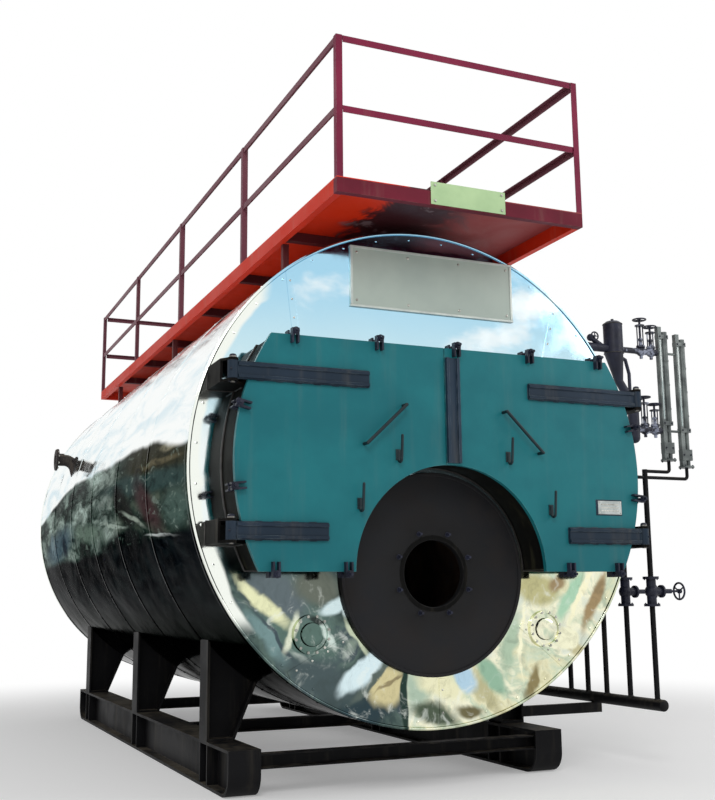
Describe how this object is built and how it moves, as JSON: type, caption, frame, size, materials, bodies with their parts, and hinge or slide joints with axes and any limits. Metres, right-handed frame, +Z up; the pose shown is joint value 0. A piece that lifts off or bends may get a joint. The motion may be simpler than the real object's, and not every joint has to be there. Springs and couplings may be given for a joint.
{
  "type": "industrial boiler",
  "caption": "Horizontal fire-tube steam boiler with a polished drum, hinged smokebox doors, burner plate, skid, top walkway, water gauges and a drain header.",
  "frame": {"origin": "on the floor, under the middle of the boiler's plan box", "axes": "+Z up, +Y from the front doors to the rear along the drum, +X to the right seen from the front"},
  "size_m": [4.264, 8.13, 5.02],
  "materials": {
    "polished_cladding": "mirror polished stainless sheet",
    "tube_plate_steel": "sooty bare steel",
    "burner_plate_paint": "matt heat-proof charcoal",
    "smokebox_paint": "dull olive",
    "door_paint": "satin teal",
    "refractory": "rough cast refractory",
    "strap_paint": "satin slate",
    "dark_fittings": "satin near-black",
    "pin_steel": "turned",
    "skid_paint": "satin black",
    "walkway_red": "primer red",
    "walkway_dark_red": "primer dark red",
    "rail_maroon": "dull maroon",
    "gauge_steel": "brushed",
    "outlet_primer": "dark grey primer"
  },
  "bodies": {
    "root": {"jacket": "polished_cladding", "front_cladding": "polished_cladding", "rear_cladding": "polished_cladding", "front_tube_plate": "tube_plate_steel", "rear_tube_plate": "tube_plate_steel", "fire_tubes": "tube_plate_steel", "furnace": "tube_plate_steel", "burner_plate": "burner_plate_paint", "smokebox": "smokebox_paint", "clamp_lugs": "dark_fittings", "hinge_brackets": "strap_paint", "hinge_pins": "pin_steel", "handhole_covers": "polished_cladding", "left_skid": "skid_paint", "right_skid": "skid_paint", "cross_beams": "skid_paint", "saddle_legs": "skid_paint", "walkway_frame": "walkway_red", "walkway_beams": "walkway_dark_red", "walkway_deck": "walkway_red", "walkway_legs": "walkway_dark_red", "rail_posts": "rail_maroon", "side_rails": "rail_maroon", "end_rails": "rail_maroon", "level_column": "dark_fittings", "water_gauges": "gauge_steel", "gauge_valves": "dark_fittings", "drain_pipes": "skid_paint", "drain_header": "skid_paint", "drain_valves": "dark_fittings", "steam_outlet": "outlet_primer", "flue_outlet": "outlet_primer", "feed_inlet": "outlet_primer"},
    "left_door_leaf": {"left_door": "door_paint", "left_door_lining": "refractory", "left_door_straps": "strap_paint", "left_door_handles": "strap_paint", "left_door_clamps": "dark_fittings"},
    "right_door_leaf": {"right_door": "door_paint", "right_door_lining": "refractory", "right_door_straps": "strap_paint", "centre_strip": "strap_paint", "right_door_handles": "strap_paint", "right_door_clamps": "dark_fittings"},
    "upper_inner_wheel_body": {"upper_inner_wheel": "dark_fittings"},
    "upper_outer_wheel_body": {"upper_outer_wheel": "dark_fittings"},
    "lower_inner_wheel_body": {"lower_inner_wheel": "dark_fittings"},
    "lower_outer_wheel_body": {"lower_outer_wheel": "dark_fittings"},
    "drain_wheel_body": {"drain_wheel": "dark_fittings"}
  },
  "joints": [
    {"name": "left_door_hinge", "type": "hinge", "parent": "root", "child": "left_door_leaf", "pos_m": [-1.942, -3.791, 2.18], "axis": [0, 0, -1], "range_deg": [0, 110]},
    {"name": "right_door_hinge", "type": "hinge", "parent": "root", "child": "right_door_leaf", "pos_m": [1.178, -3.791, 2.18], "axis": [0, 0, 1], "range_deg": [0, 110]},
    {"name": "upper_inner_wheel_turn", "type": "hinge", "parent": "root", "child": "upper_inner_wheel_body", "pos_m": [1.678, -3.245, 3.265], "axis": [0, 0, 1], "range_deg": [0, 900]},
    {"name": "upper_outer_wheel_turn", "type": "hinge", "parent": "root", "child": "upper_outer_wheel_body", "pos_m": [1.778, -3.245, 3.265], "axis": [0, 0, 1], "range_deg": [0, 900]},
    {"name": "lower_inner_wheel_turn", "type": "hinge", "parent": "root", "child": "lower_inner_wheel_body", "pos_m": [1.678, -3.245, 2.62], "axis": [0, 0, 1], "range_deg": [0, 900]},
    {"name": "lower_outer_wheel_turn", "type": "hinge", "parent": "root", "child": "lower_outer_wheel_body", "pos_m": [1.778, -3.245, 2.62], "axis": [0, 0, 1], "range_deg": [0, 900]},
    {"name": "drain_wheel_turn", "type": "hinge", "parent": "root", "child": "drain_wheel_body", "pos_m": [1.648, -3.245, 1.34], "axis": [1, 0, 0], "range_deg": [0, 1620]}
  ]
}
